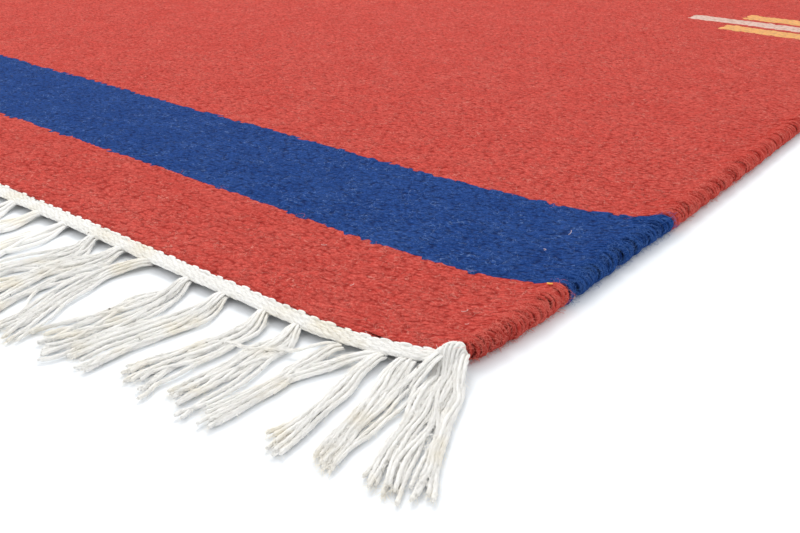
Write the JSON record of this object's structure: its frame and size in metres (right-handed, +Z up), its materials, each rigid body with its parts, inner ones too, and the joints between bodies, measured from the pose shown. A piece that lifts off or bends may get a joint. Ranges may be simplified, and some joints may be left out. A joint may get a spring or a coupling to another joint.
{
  "type": "kilim rug",
  "caption": "Flat-woven wool rug with rolled selvedges, a stripe across each end, cotton end bands and a knotted cotton warp fringe at both ends.",
  "frame": {"origin": "middle of the underside, on the plane that the rug lies on", "axes": "+Z up, out of the rug's face; +Y along the warps, the rug's long way; +X along the wefts, across its width"},
  "size_m": [0.848, 1.6058, 0.0072],
  "materials": {
    "wool": "weft-faced plain weave in fuzzy matt wool, red with a blue stripe across each end and small white and yellow bar motifs",
    "cotton": "undyed cream cotton yarn, matt, twined at the ends and hanging on as plied fringe strands"
  },
  "bodies": {
    "root": {"woven_body": "wool", "end_band_near": "cotton", "end_band_far": "cotton", "fringe_near": "cotton", "fringe_far": "cotton"}
  },
  "joints": []
}
